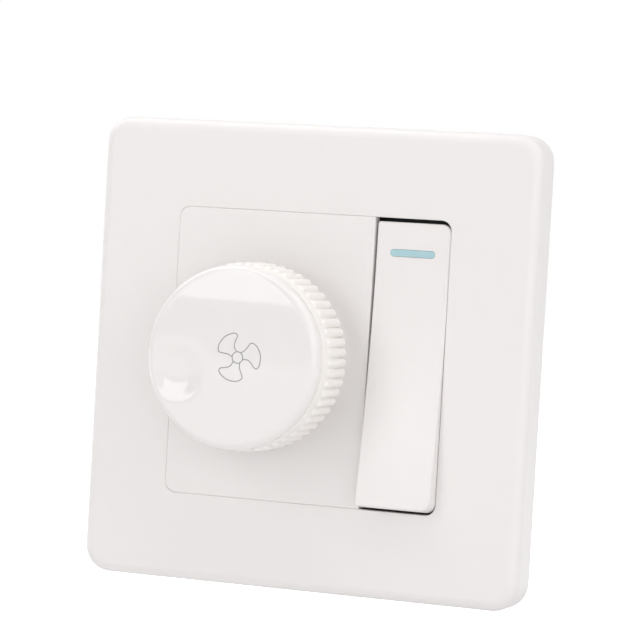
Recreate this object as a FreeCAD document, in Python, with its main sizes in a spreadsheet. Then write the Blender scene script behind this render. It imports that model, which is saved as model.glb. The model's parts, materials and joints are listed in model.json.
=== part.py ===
import FreeCAD, Part
import os
import Sketcher

# Driving sizes in millimetres and degrees
SIZES = {
    # Wall plate: the front cover and its window
    "plate_side": "86",
    "plate_depth": "7.5",
    "plate_corner": "5",
    "plate_edge": "2",
    "cover_wall": "2",
    "window_side": "53.5",
    "window_corner": "2",
    "lip_wall": "1.2",
    "lip_depth": "2.6",
    "soft_edge": "0.2",
    # Snap hooks that hold the cover on the frame
    "hook_offset": "22",
    "hook_width": "6",
    "hook_thick": "1.3",
    "hook_inset": "3",
    "hook_barb": "0.7",
    "hook_play": "0.3",
    "catch_play": "0.05",
    # Mounting frame and its two wall-screw slots
    "frame_play": "0.5",
    "frame_thick": "2",
    "frame_corner": "3",
    "screw_spacing": "60.3",
    "slot_length": "7",
    "slot_radius": "2.15",
    "boss_radius": "2.1",
    "boss_height": "1.6",
    # Flush insert with the round plinth that carries the control
    "seam": "0.06",
    "insert_thick": "2.2",
    "skirt_wall": "1.2",
    "plinth_radius": "15",
    "plinth_height": "3.9",
    "plinth_wall": "2",
    "tab_width": "8",
    "tab_thick": "1.2",
    "tab_barb": "0.5",
    "tab_reach": "1.4",
    # Rocker switch
    "rocker_width": "14.3",
    "rocker_gap": "0.3",
    "rocker_side_gap": "0.1",
    "rocker_end_gap": "0.75",
    "rocker_rise": "0.75",
    "rocker_hollow": "322",
    "rocker_wall": "1.2",
    "rocker_skin": "1.5",
    "rocker_draft": "0.2",
    "rocker_edge": "0.35",
    "rocker_corner": "1.8",
    "rocker_inner_corner": "0.45",
    "rocker_tilt": "4.6",
    "pivot_depth": "3.1",
    "pivot_drop": "0.25",
    "pin_radius": "0.8",
    "pin_seat": "0.02",
    "running_play": "0.05",
    "side_play": "0.3",
    "ear_thick": "1.5",
    "ear_half": "2",
    "ear_round": "1.2",
    "indicator_length": "8.6",
    "indicator_width": "1.35",
    "indicator_depth": "0.8",
    "indicator_inset": "5.6",
    # Cradle, spring and plunger under the rocker
    "cradle_reach": "12",
    "cradle_thick": "1",
    "hub_radius": "1.9",
    "barrel_radius": "2.3",
    "barrel_end": "7.4",
    "bore_start": "1.4",
    "plunger_radius": "1.55",
    "plunger_body": "4.2",
    "spring_length": "2.8",
    "spring_wire": "0.2",
    "spring_radius": "1.15",
    "spring_turns": "3",
    "barrel_play": "0.9",
    # Tilting contact lever and the switch terminals
    "plunger_gap": "0.12",
    "lever_width": "5",
    "lever_thick": "0.9",
    "lever_tilt": "6",
    "lever_low": "9.5",
    "lever_high": "11",
    "roll_radius": "1",
    "roll_seat": "0.3",
    "rivet_radius": "1.4",
    "rivet_thick": "0.7",
    "rivet_height": "9.5",
    "contact_gap": "0.1",
    "saddle_half": "2.2",
    "saddle_width": "6",
    "saddle_clear": "0.25",
    "strap_thick": "0.8",
    "clamp_side": "7",
    "clamp_depth": "8",
    "clamp_play": "0.3",
    "clamp_inset": "10",
    "wire_radius": "1.6",
    "entry_side": "4.6",
    "terminal_screw": "1.4",
    "terminal_head": "2.4",
    "terminal_head_thick": "1.6",
    "access_radius": "2.8",
    # Rear housing
    "housing_inset": "1.25",
    "housing_depth": "26",
    "housing_wall": "1.6",
    "housing_corner": "3",
    "divider_wall": "1.4",
    "divider_offset": "1.25",
    "ear_offset": "15",
    "ear_width": "7",
    "ear_reach": "7",
    "ear_tip": "2.8",
    "ear_depth": "2.2",
    "slot_share": "0.33",
    "housing_screw": "1.2",
    "housing_head": "2.2",
    "housing_head_thick": "1.6",
    "thread_play": "0.05",
    # Circuit board and its posts
    "board_thick": "1.6",
    "board_front": "1.6",
    "board_half": "21",
    "board_play": "0.4",
    "post_radius": "2.2",
    "post_inset": "3",
    "board_screw": "1",
    "board_head": "1.8",
    "board_head_thick": "1.2",
    "board_screw_length": "6",
    # Rotary potentiometer
    "can_radius": "8.5",
    "can_play": "1",
    "bushing_radius": "3.5",
    "bushing_length": "5.2",
    "journal_radius": "2.3",
    "journal_tail": "8.3",
    "washer_radius": "6.5",
    "washer_thick": "0.5",
    "nut_across": "10",
    "nut_thick": "2",
    "shaft_radius": "3",
    "shaft_length": "7.4",
    "shaft_flat": "1.5",
    "shaft_play": "0.2",
    "hub_play": "0.6",
    "bore_floor": "0.5",
    "lug_width": "1.2",
    "lug_thick": "0.6",
    "lug_reach": "3",
    "lug_pitch": "4",
    "lug_root": "2",
    # Ribbed knob and its cap
    "knob_lift": "4.9",
    "knob_height": "11.3",
    "knob_radius": "16.75",
    "knob_neck": "16.25",
    "neck_height": "1.2",
    "band_height": "2",
    "knob_wall": "1.85",
    "web_thick": "2",
    "hub_outer": "5.5",
    "bore_play": "0.03",
    "rib_count": "56",
    "rib_radius": "0.92",
    "rib_sink": "0.45",
    "rib_round": "0.8",
    "rib_run": "1.6",
    "shoulder_edge": "0.3",
    "cap_radius": "16.7",
    "cap_gap": "0.1",
    "cap_height": "1.7",
    "cap_edge": "1.5",
    "cap_crown": "0.25",
    "plug_play": "0.1",
    "dimple_radius": "13",
    "dimple_depth": "1",
    "dimple_offset": "10.8",
    "dimple_angle": "197",
    # Parts on the circuit board
    "drum_radius": "7",
    "drum_core": "4",
    "drum_height": "11",
    "drum_flange": "1.5",
    "winding_radius": "6.3",
    "drum_inset": "8",
    "drum_z": "-4",
    "film_width": "5",
    "film_length": "13",
    "film_height": "11",
    "film_edge": "0.6",
    "film_pitch": "6",
    "film_inset": "1",
    "film_z": "-14",
    "sink_width": "14",
    "sink_inset": "0.5",
    "sink_thick": "1.5",
    "sink_play": "1.7",
    "sink_wing": "7",
    "sink_z": "8",
    "tab_plate": "1.3",
    "triac_width": "10",
    "triac_body": "9",
    "triac_tall": "15.5",
    "triac_thick": "3.1",
    "tab_below": "0.5",
    "lead_width": "0.8",
    "lead_pitch": "2.54",
    "sink_screw": "1.5",
    "sink_head": "2.7",
    "sink_head_thick": "2",
    "sink_screw_past": "1.5",
    "resistor_radius": "1.25",
    "resistor_length": "6.5",
    "diac_radius": "0.95",
    "diac_length": "4",
    "axial_lead": "0.3",
    "axial_reach": "1.5",
    "axial_inset": "4",
    "axial_z": "6.5",
    "axial_pitch": "4",
}

# Places worked out from the driving sizes
PLACES = {
    "plate_half": "dims.plate_side / 2",
    "window_half": "dims.window_side / 2",
    "cover_inside": "dims.plate_side / 2 - dims.cover_wall",
    "cover_hollow": "dims.plate_depth - dims.cover_wall",
    "hook_low": "plate_half - dims.cover_wall - dims.hook_inset - dims.hook_thick",
    "hook_high": "plate_half - dims.cover_wall - dims.hook_inset",
    "hook_catch": "dims.frame_thick / 2 - dims.catch_play",
    "frame_half": "plate_half - dims.cover_wall - dims.frame_play",
    "insert_left": "-(window_half - dims.seam)",
    "insert_high": "window_half - dims.seam",
    "insert_right": "window_half - dims.rocker_side_gap - dims.rocker_width - dims.rocker_gap",
    "insert_back": "dims.plate_depth - dims.insert_thick",
    "knob_x": "(insert_right - window_half) / 2",
    "plinth_top": "dims.plate_depth + dims.plinth_height",
    "plinth_under": "plinth_top - dims.plinth_wall",
    "tab_outer": "housing_inside - dims.tab_barb - dims.hook_play",
    "tab_inner": "tab_outer - dims.tab_thick",
    "rocker_x": "window_half - dims.rocker_side_gap - dims.rocker_width / 2",
    "pivot_y": "dims.plate_depth - dims.pivot_depth",
    "rocker_half": "window_half - dims.rocker_end_gap",
    "face_mid": "dims.pivot_depth + dims.rocker_rise",
    "face_end": "face_mid + dims.rocker_hollow - sqrt(dims.rocker_hollow ^ 2 - rocker_half ^ 2)",
    "rocker_inside": "face_mid - dims.rocker_skin",
    "indicator_z": "rocker_half - dims.indicator_inset",
    "indicator_drop": "sqrt(dims.rocker_hollow ^ 2 - indicator_z ^ 2)",
    "indicator_face": "face_mid + dims.rocker_hollow - indicator_drop",
    "indicator_run": "dims.indicator_length / 2 - dims.indicator_width / 2",
    "ear_top": "pivot_y + 2 * dims.pin_radius",
    "ear_inner": "dims.rocker_width / 2 - dims.rocker_wall - dims.ear_thick - dims.rocker_gap",
    "cradle_half": "ear_inner - dims.side_play",
    "plunger_back": "dims.bore_start + dims.spring_length",
    "nose_centre": "plunger_back + dims.plunger_body",
    "tip_y": "nose_centre + dims.plunger_radius - pivot_y",
    "lever_front": "tip_y + dims.plunger_gap",
    "lever_back": "lever_front + dims.lever_thick",
    "roll_y": "lever_back + dims.roll_seat",
    "rivet_end": "lever_back + dims.rivet_thick - roll_y",
    "rivet_top": "dims.rivet_height + dims.rivet_radius",
    "rivet_swing": "rivet_end * cos(dims.lever_tilt) + rivet_top * sin(dims.lever_tilt)",
    "fixed_front": "roll_y + rivet_swing + dims.contact_gap",
    "fixed_strap": "fixed_front + dims.rivet_thick",
    "saddle_front": "roll_y + dims.saddle_clear",
    "saddle_back": "roll_y + dims.roll_radius + dims.running_play + dims.strap_thick",
    "housing_half": "window_half - dims.housing_inset",
    "housing_inside": "housing_half - dims.housing_wall",
    "floor_y": "dims.housing_depth - dims.housing_wall",
    "divider_right": "insert_right - dims.divider_offset",
    "divider_left": "divider_right - dims.divider_wall",
    "ear_z": "housing_half + dims.ear_reach / 2",
    "clamp_front": "floor_y - dims.clamp_depth",
    "clamp_high": "housing_inside - dims.clamp_play",
    "clamp_low": "clamp_high - dims.clamp_side",
    "clamp_middle": "clamp_high - dims.clamp_side / 2",
    "clamp_x": "board_left + dims.clamp_inset",
    "board_back": "dims.board_front + dims.board_thick",
    "board_left": "-(housing_inside - dims.board_play)",
    "board_right": "divider_left - dims.board_play",
    "post_left": "board_left + dims.post_inset",
    "post_right": "board_right - dims.post_inset",
    "post_z": "dims.board_half - dims.post_inset",
    "bushing_front": "plinth_under + dims.bushing_length",
    "shaft_front": "bushing_front + dims.shaft_play + dims.shaft_length",
    "journal_bore": "dims.journal_radius + dims.running_play",
    "knob_back": "dims.plate_depth + dims.knob_lift",
    "knob_front": "knob_back + dims.knob_height",
    "shoulder_y": "knob_front - dims.neck_height",
    "rib_front": "shoulder_y - dims.band_height",
    "knob_inside": "dims.knob_radius - dims.knob_wall",
    "web_front": "shaft_front + dims.shaft_play + dims.bore_floor",
    "web_back": "web_front - dims.web_thick",
    "hub_back": "bushing_front + dims.hub_play",
    "rib_centre": "dims.knob_radius - dims.rib_sink",
    "rib_crest": "rib_centre + dims.rib_radius",
    "plug_radius": "knob_inside - dims.plug_play",
    "cap_back": "knob_front + dims.cap_gap",
    "cap_front": "cap_back + dims.cap_height",
    "cap_top": "cap_front + dims.cap_crown",
    "cap_middle": "cap_top - crown_radius + sqrt(crown_radius ^ 2 - dims.cap_radius ^ 2 / 4)",
    "crown_radius": "(dims.cap_radius ^ 2 + dims.cap_crown ^ 2) / (2 * dims.cap_crown)",
    "dimple_face": "cap_top - crown_radius + sqrt(crown_radius ^ 2 - dims.dimple_offset ^ 2)",
    "dimple_x": "dims.dimple_offset * cos(dims.dimple_angle)",
    "dimple_z": "dims.dimple_offset * sin(dims.dimple_angle)",
    "drum_x": "board_left + dims.drum_inset",
    "axial_x": "board_left + dims.axial_inset",
    "film_x": "board_right - dims.film_inset - dims.film_pitch - dims.film_width",
    "sink_x": "board_right - dims.sink_inset - dims.sink_width / 2",
    "sink_height": "floor_y - dims.sink_play - board_back",
    "lead_length": "sink_height - dims.tab_below - dims.triac_tall",
    "triac_low": "board_back + lead_length",
    "tab_front": "dims.sink_z - dims.tab_plate",
    "hole_y": "triac_low + dims.triac_tall - dims.sink_head",
}

doc = FreeCAD.newDocument("fan_speed_switch")
dims = doc.addObject("Spreadsheet::Sheet", "dims")
for row, (alias, value) in enumerate(SIZES.items(), start=1):
    dims.set(f"A{row}", alias)
    dims.set(f"B{row}", value)
    dims.setAlias(f"B{row}", alias)
doc.recompute()
at = doc.addObject("App::VarSet", "at")
for name in PLACES:
    at.addProperty("App::PropertyFloat", name)
for name, rule in PLACES.items():
    at.setExpression(name, rule)
doc.recompute()

ALONG_X = FreeCAD.Vector(1, 0, 0)
ALONG_Y = FreeCAD.Vector(0, 1, 0)
ALONG_Z = FreeCAD.Vector(0, 0, 1)
nodes = []


def number(rule):
    """The present value of a rule."""
    return float(dims.evalExpression(rule))


def bind(item, rules):
    """Tie properties to the sheet."""
    for prop, rule in rules.items():
        item.setExpression(prop, rule)


def place(item, x, y, z):
    """Tie an object's position to the sheet."""
    bind(item, {"Placement.Base.x": x, "Placement.Base.y": y, "Placement.Base.z": z})


def node(item, label):
    """Mark an object as a finished piece."""
    item.Label = label
    nodes.append(item)
    return item


def straight(edge, axis):
    """Whether an edge is a straight line along an axis."""
    if edge.Curve.TypeId != "Part::GeomLine":
        return False
    return abs(edge.tangentAt(edge.FirstParameter).dot(axis)) > 0.999


def level(edge, height):
    """Whether an edge lies in the plane y = height."""
    box = edge.BoundBox
    return max(abs(box.YMin - height), abs(box.YMax - height)) < 1e-4


def origin(body, role):
    """One of a body's own origin planes or axes."""
    return next(item for item in body.Origin.OriginFeatures if item.Role == role)


def new_body(name):
    """An empty body at the object's origin."""
    return doc.addObject("PartDesign::Body", name + "_form")


def sketch_on(body, role, depth="0"):
    """A sketch on an origin plane, moved along that plane's normal."""
    sketch = body.newObject("Sketcher::SketchObject", "sketch")
    sketch.AttachmentSupport = [(origin(body, role), "")]
    sketch.MapMode = "FlatFace"
    sketch.setExpression("AttachmentOffset.Base.z", depth)
    return sketch


def hold(sketch, geometry, point, across, along):
    """Fix a sketch point by its two coordinates."""
    for kind, axis, rule in (("DistanceX", -2, across), ("DistanceY", -1, along)):
        if rule == "0":
            sketch.addConstraint(Sketcher.Constraint("PointOnObject", geometry, point, axis))
            continue
        limit = Sketcher.Constraint(kind, -1, 1, geometry, point, number(rule))
        index = sketch.addConstraint(limit)
        sketch.setExpression(f"Constraints[{index}]", rule)


def set_radius(sketch, geometry, rule):
    """Give a circle or an arc of a sketch its radius."""
    index = sketch.addConstraint(Sketcher.Constraint("Radius", geometry, number(rule)))
    sketch.setExpression(f"Constraints[{index}]", rule)


def outline(sketch, corners, arcs=None):
    """A closed outline through its corners; arcs maps an edge to its radius and its middle point."""
    arcs = arcs or {}
    points = [FreeCAD.Vector(number(u), number(v), 0) for u, v in corners]
    first = sketch.GeometryCount
    ends = []
    for index, (start, end) in enumerate(zip(points, points[1:] + points[:1])):
        if index not in arcs:
            sketch.addGeometry(Part.LineSegment(start, end), False)
            ends.append((1, 2))
            continue
        middle = FreeCAD.Vector(*[number(rule) for rule in arcs[index][1]], 0)
        turn = (middle - start).cross(end - middle).z
        curve = Part.Arc(start, middle, end) if turn > 0 else Part.Arc(end, middle, start)
        sketch.addGeometry(curve, False)
        ends.append((1, 2) if turn > 0 else (2, 1))
    for index, (across, along) in enumerate(corners):
        after = (index + 1) % len(corners)
        join_ends = (first + index, ends[index][1], first + after, ends[after][0])
        sketch.addConstraint(Sketcher.Constraint("Coincident", *join_ends))
        hold(sketch, first + index, ends[index][0], across, along)
    for index, (radius, middle) in arcs.items():
        set_radius(sketch, first + index, radius)


def rectangle(sketch, left, right, low, high):
    """A rectangle between two pairs of coordinates."""
    outline(sketch, [(left, low), (right, low), (right, high), (left, high)])


def square(sketch, half):
    """A square about the sketch's origin."""
    rectangle(sketch, f"-({half})", half, f"-({half})", half)


def circle(sketch, across, along, radius):
    """A circle by its centre and radius."""
    centre = FreeCAD.Vector(number(across), number(along), 0)
    ring = sketch.addGeometry(Part.Circle(centre, ALONG_Z, number(radius)), False)
    hold(sketch, ring, 3, across, along)
    set_radius(sketch, ring, radius)


def pad(body, sketch, length, backward=False):
    """Raise a sketch along its normal, or against it."""
    step = body.newObject("PartDesign::Pad", "pad")
    step.Profile = sketch
    step.Reversed = backward
    step.setExpression("Length", length)
    doc.recompute()
    return step


def pocket(body, sketch, length, forward=False):
    """Cut a sketch against its normal, or along it."""
    before = body.Tip.Shape.Volume
    step = body.newObject("PartDesign::Pocket", "pocket")
    step.Profile = sketch
    step.Reversed = forward
    step.setExpression("Length", length)
    doc.recompute()
    if not step.Shape.Volume < before:
        raise ValueError(f"{body.Name}: a pocket cut nothing")
    return step


def spin(body, sketch, kind):
    """Turn a sketch once round the body's Y axis, to add or to cut."""
    step = body.newObject(kind, "turned")
    step.Profile = sketch
    step.ReferenceAxis = (sketch, ["V_Axis"])
    step.Angle = 360
    doc.recompute()
    return step


def fillet(body, chosen, radius):
    """Round the chosen edges of a body."""
    base = body.Tip
    names = [f"Edge{i}" for i, edge in enumerate(base.Shape.Edges, start=1) if chosen(edge)]
    step = body.newObject("PartDesign::Fillet", "fillet")
    step.Base = (base, names)
    step.setExpression("Radius", radius)
    doc.recompute()
    return step


def mirror(body, step, role):
    """Repeat a step on the other side of an origin plane."""
    twin = body.newObject("PartDesign::Mirrored", "mirror")
    twin.Originals = [step]
    twin.MirrorPlane = (origin(body, role), [""])
    body.Tip = twin
    doc.recompute()
    return twin


def block(name, low, size):
    """A box from its lowest corner."""
    box = doc.addObject("Part::Box", name)
    place(box, *low)
    bind(box, dict(zip(("Length", "Width", "Height"), size)))
    return box


def rod(name, start, axis, radius, length):
    """A round bar from the centre of one end."""
    bar = doc.addObject("Part::Cylinder", name)
    bar.Placement = FreeCAD.Placement(FreeCAD.Vector(), FreeCAD.Rotation(ALONG_Z, axis))
    place(bar, *start)
    bind(bar, {"Radius": radius, "Height": length})
    return bar


def ball(name, centre, radius):
    """A sphere."""
    sphere = doc.addObject("Part::Sphere", name)
    place(sphere, *centre)
    bind(sphere, {"Radius": radius})
    return sphere


def join(name, *pieces):
    """Several forms as one solid."""
    whole = doc.addObject("Part::MultiFuse", name)
    whole.Shapes = list(pieces)
    whole.Refine = True
    return whole


def cut(name, base, *tools):
    """A form with others taken out of it."""
    rest = doc.addObject("Part::Cut", name)
    rest.Base = base
    rest.Tool = tools[0] if len(tools) == 1 else join(name + "_tools", *tools)
    return rest


def group(name, *pieces):
    """Like pieces that share a node."""
    items = doc.addObject("Part::Compound", name)
    items.Links = list(pieces)
    return items


def tilt(item, axis, x, y, z, angle):
    """Put a piece on its hinge at its resting angle."""
    item.Placement = FreeCAD.Placement(FreeCAD.Vector(), FreeCAD.Rotation(axis, 1))
    place(item, x, y, z)
    item.setExpression("Placement.Rotation.Angle", angle)


def on_rocker(item):
    """Hang a piece on the rocker's pivot with its top pressed in."""
    tilt(item, -ALONG_X, "at.rocker_x", "-at.pivot_y", "-dims.pivot_drop", "dims.rocker_tilt")


def screw(name, point, axis, shank, head):
    """A slotted screw with its head towards an axis; shank and head are radius and length."""
    radius, length = shank
    head_radius, head_thick = head
    stem = rod(name + "_stem", ("0", "0", f"-({length})"), ALONG_Z, radius, length)
    top = rod(name + "_top", ("0", "0", "0"), ALONG_Z, head_radius, head_thick)
    across = f"2 * ({head_radius})"
    wide = f"({head_radius}) * dims.slot_share"
    corner = (f"-({across}) / 2", f"-({wide}) / 2", f"({head_thick}) / 2")
    slot = block(name + "_slot", corner, (across, wide, head_thick))
    whole = cut(name, join(name + "_blank", stem, top), slot)
    whole.Placement = FreeCAD.Placement(FreeCAD.Vector(), FreeCAD.Rotation(ALONG_Z, axis))
    place(whole, *point)
    return whole


def make_front_cover():
    """The square cover: a shell with a window, a return lip and four snap hooks."""
    body = new_body("cover")
    sketch = sketch_on(body, "XZ_Plane")
    square(sketch, "at.plate_half")
    pad(body, sketch, "dims.plate_depth")
    fillet(body, lambda edge: straight(edge, ALONG_Y), "dims.plate_corner")
    fillet(body, lambda edge: level(edge, -dims.plate_depth), "dims.plate_edge")
    sketch = sketch_on(body, "XZ_Plane")
    square(sketch, "at.cover_inside")
    pocket(body, sketch, "at.cover_hollow", forward=True)
    inner = at.cover_inside
    fillet(
        body,
        lambda edge: straight(edge, ALONG_Y) and abs(abs(edge.Vertexes[0].X) - inner) < 1e-4,
        "dims.plate_corner - dims.cover_wall",
    )
    sketch = sketch_on(body, "XZ_Plane", "dims.plate_depth - dims.lip_depth")
    square(sketch, "at.window_half + dims.lip_wall")
    pad(body, sketch, "dims.lip_depth - dims.cover_wall")
    sketch = sketch_on(body, "XZ_Plane")
    square(sketch, "at.window_half")
    pocket(body, sketch, "dims.plate_depth", forward=True)
    half = at.window_half
    fillet(
        body,
        lambda edge: straight(edge, ALONG_Y) and abs(abs(edge.Vertexes[0].X) - half) < 1e-4,
        "dims.window_corner",
    )
    reach = half + dims.window_corner
    front = -dims.plate_depth
    fillet(
        body,
        lambda edge: level(edge, front) and edge.BoundBox.XMax < reach and edge.BoundBox.XMin > -reach,
        "dims.soft_edge",
    )
    sketch = sketch_on(body, "YZ_Plane", "dims.hook_offset - dims.hook_width / 2")
    for side in ("", "-"):
        outline(sketch, [
            ("-at.cover_hollow", f"{side}at.hook_low"),
            ("-at.hook_catch", f"{side}at.hook_low"),
            ("-at.hook_catch", f"{side}(at.hook_low - dims.hook_barb)"),
            ("-2 * dims.catch_play", f"{side}at.hook_low"),
            ("-2 * dims.catch_play", f"{side}at.hook_high"),
            ("-at.cover_hollow", f"{side}at.hook_high"),
        ])
    mirror(body, pad(body, sketch, "dims.hook_width"), "YZ_Plane")
    node(body, "front_cover")


def make_mounting_frame():
    """The frame behind the cover: wall-screw slots, hook slots, bosses and the rocker's ears."""
    body = new_body("frame")
    sketch = sketch_on(body, "XZ_Plane")
    square(sketch, "at.frame_half")
    pad(body, sketch, "dims.frame_thick")
    fillet(body, lambda edge: straight(edge, ALONG_Y), "dims.frame_corner")
    sketch = sketch_on(body, "XZ_Plane")
    circle(sketch, "at.knob_x", "0", "dims.can_radius + dims.can_play")
    swing = "(dims.barrel_radius + dims.barrel_play)"
    rectangle(
        sketch,
        f"at.rocker_x - {swing}",
        f"at.rocker_x + {swing}",
        f"-dims.pivot_drop - {swing}",
        f"-dims.pivot_drop + {swing}",
    )
    run = "(dims.slot_length / 2 - dims.slot_radius)"
    hook_near = "(dims.hook_offset - dims.hook_width / 2 - dims.hook_play)"
    hook_far = "(dims.hook_offset + dims.hook_width / 2 + dims.hook_play)"
    tab_half = "(dims.tab_width / 2 + dims.hook_play)"
    for side in ("", "-"):
        centre = f"{side}dims.screw_spacing / 2"
        rectangle(sketch, f"{centre} - {run}", f"{centre} + {run}", "-dims.slot_radius", "dims.slot_radius")
        rectangle(
            sketch,
            f"at.knob_x - {tab_half}",
            f"at.knob_x + {tab_half}",
            f"{side}(at.tab_inner - dims.hook_play)",
            f"{side}(at.tab_outer + dims.hook_play)",
        )
        for flank in ("", "-"):
            rectangle(
                sketch,
                f"{flank}{hook_near}",
                f"{flank}{hook_far}",
                f"{side}(at.hook_low - dims.hook_play / 2)",
                f"{side}(at.hook_high + dims.hook_play)",
            )
    pocket(body, sketch, "dims.frame_thick", forward=True)
    sketch = sketch_on(body, "XZ_Plane")
    for side in ("", "-"):
        for end in ("-", "+"):
            circle(sketch, f"{side}dims.screw_spacing / 2 {end} {run}", "0", "dims.slot_radius")
    pocket(body, sketch, "dims.frame_thick", forward=True)
    sketch = sketch_on(body, "XZ_Plane")
    for side in ("", "-"):
        for flank in ("", "-"):
            rectangle(
                sketch,
                f"{flank}{hook_near}",
                f"{flank}{hook_far}",
                f"{side}(at.hook_low - dims.hook_barb - dims.hook_play)",
                f"{side}at.hook_low",
            )
    pocket(body, sketch, "dims.frame_thick / 2", forward=True)
    bosses = [(f"{flank}dims.ear_offset", f"{side}at.ear_z") for side in ("", "-") for flank in ("", "-")]
    sketch = sketch_on(body, "XZ_Plane", "dims.frame_thick")
    for across, along in bosses:
        circle(sketch, across, along, "dims.boss_radius")
    pad(body, sketch, "dims.boss_height")
    sketch = sketch_on(body, "XZ_Plane")
    for across, along in bosses:
        circle(sketch, across, along, "dims.housing_screw + dims.thread_play")
    pocket(body, sketch, "dims.frame_thick + dims.boss_height / 2", forward=True)
    sketch = sketch_on(body, "XZ_Plane", "dims.frame_thick")
    ear_far = "(at.ear_inner + dims.ear_thick)"
    for near, far in (("at.ear_inner", ear_far), ("-at.ear_inner", f"-{ear_far}")):
        rectangle(
            sketch,
            f"at.rocker_x + {near}",
            f"at.rocker_x + {far}",
            "-dims.pivot_drop - dims.ear_half",
            "-dims.pivot_drop + dims.ear_half",
        )
    pad(body, sketch, "at.ear_top - dims.frame_thick")
    top = -at.ear_top
    fillet(body, lambda edge: straight(edge, ALONG_X) and level(edge, top), "dims.ear_round")
    sketch = sketch_on(body, "YZ_Plane", f"at.rocker_x + {ear_far}")
    circle(sketch, "-at.pivot_y", "-dims.pivot_drop", "dims.pin_radius + dims.pin_seat")
    pocket(body, sketch, f"2 * {ear_far}")
    node(body, "mounting_frame")


def make_insert_panel():
    """The flush insert: a plate with a hollow round plinth, a locating skirt and two snap tabs."""
    body = new_body("insert")
    sketch = sketch_on(body, "XZ_Plane", "at.insert_back")
    rectangle(sketch, "at.insert_left", "at.insert_right", "-at.insert_high", "at.insert_high")
    pad(body, sketch, "dims.insert_thick")
    left = at.insert_left
    fillet(
        body,
        lambda edge: straight(edge, ALONG_Y) and abs(edge.Vertexes[0].X - left) < 1e-4,
        "dims.window_corner - dims.seam",
    )
    fillet(body, lambda edge: level(edge, -dims.plate_depth), "dims.soft_edge")
    sketch = sketch_on(body, "XZ_Plane", "dims.plate_depth - dims.insert_thick / 2")
    circle(sketch, "at.knob_x", "0", "dims.plinth_radius")
    pad(body, sketch, "dims.plinth_height + dims.insert_thick / 2")
    fillet(body, lambda edge: level(edge, -at.plinth_top), "dims.plinth_wall / 2")
    sketch = sketch_on(body, "XZ_Plane", "at.insert_back")
    circle(sketch, "at.knob_x", "0", "dims.plinth_radius - dims.plinth_wall")
    pocket(body, sketch, "at.plinth_under - at.insert_back", forward=True)
    sketch = sketch_on(body, "XZ_Plane", "at.plinth_under")
    circle(sketch, "at.knob_x", "0", "dims.bushing_radius + dims.running_play")
    pocket(body, sketch, "dims.plinth_wall", forward=True)
    sketch = sketch_on(body, "XZ_Plane", "dims.frame_thick")
    edge_in = "dims.window_corner / 2"
    wall_in = "(dims.window_corner / 2 + dims.skirt_wall)"
    rectangle(
        sketch,
        f"at.insert_left + {edge_in}",
        "at.insert_right",
        f"-at.insert_high + {edge_in}",
        f"at.insert_high - {edge_in}",
    )
    rectangle(
        sketch,
        f"at.insert_left + {wall_in}",
        "at.insert_right - dims.skirt_wall",
        f"-at.insert_high + {wall_in}",
        f"at.insert_high - {wall_in}",
    )
    pad(body, sketch, "at.insert_back - dims.frame_thick")
    sketch = sketch_on(body, "YZ_Plane", "at.knob_x - dims.tab_width / 2")
    for side in ("", "-"):
        outline(sketch, [
            ("-at.insert_back", f"{side}at.tab_inner"),
            ("-at.insert_back", f"{side}at.tab_outer"),
            ("dims.catch_play", f"{side}at.tab_outer"),
            ("dims.catch_play", f"{side}(at.tab_outer + dims.tab_barb)"),
            ("dims.tab_reach", f"{side}at.tab_outer"),
            ("dims.tab_reach", f"{side}at.tab_inner"),
        ])
    pad(body, sketch, "dims.tab_width")
    node(body, "insert_panel")


def board_posts():
    """The centres of the four posts that carry the circuit board."""
    columns = ("at.post_left", "at.post_right")
    return [(across, f"{side}at.post_z") for side in ("", "-") for across in columns]


def make_rear_housing():
    """The walls of the box in the wall: two chambers, screw ears and holes for reaching the screws."""
    body = new_body("housing")
    sketch = sketch_on(body, "XZ_Plane")
    square(sketch, "at.housing_half")
    pad(body, sketch, "at.floor_y", backward=True)
    fillet(body, lambda edge: straight(edge, ALONG_Y), "dims.housing_corner")
    sketch = sketch_on(body, "XZ_Plane")
    square(sketch, "at.housing_inside")
    pocket(body, sketch, "at.floor_y")
    sketch = sketch_on(body, "XZ_Plane")
    rectangle(sketch, "at.divider_left", "at.divider_right", "-at.housing_inside", "at.housing_inside")
    pad(body, sketch, "at.floor_y", backward=True)
    ears = [(flank, side) for side in ("", "-") for flank in ("", "-")]
    sketch = sketch_on(body, "XZ_Plane")
    for flank, side in ears:
        rectangle(
            sketch,
            f"{flank}(dims.ear_offset - dims.ear_width / 2)",
            f"{flank}(dims.ear_offset + dims.ear_width / 2)",
            f"{side}(at.housing_half - dims.housing_wall / 2)",
            f"{side}(at.housing_half + dims.ear_reach)",
        )
    pad(body, sketch, "dims.ear_depth", backward=True)
    tip = at.housing_half + dims.ear_reach
    fillet(
        body,
        lambda edge: straight(edge, ALONG_Y) and abs(abs(edge.Vertexes[0].Z) - tip) < 1e-4,
        "dims.ear_tip",
    )
    sketch = sketch_on(body, "XZ_Plane")
    for flank, side in ears:
        circle(sketch, f"{flank}dims.ear_offset", f"{side}at.ear_z", "dims.housing_screw + dims.shaft_play")
    pocket(body, sketch, "dims.ear_depth")
    for start in ("at.housing_inside", "-at.housing_half"):
        sketch = sketch_on(body, "XY_Plane", start)
        for across in ("at.rocker_x", "at.clamp_x"):
            circle(sketch, across, "at.clamp_front + dims.clamp_depth / 2", "dims.access_radius")
        pocket(body, sketch, "dims.housing_wall", forward=True)
    node(body, "rear_housing")


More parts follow.
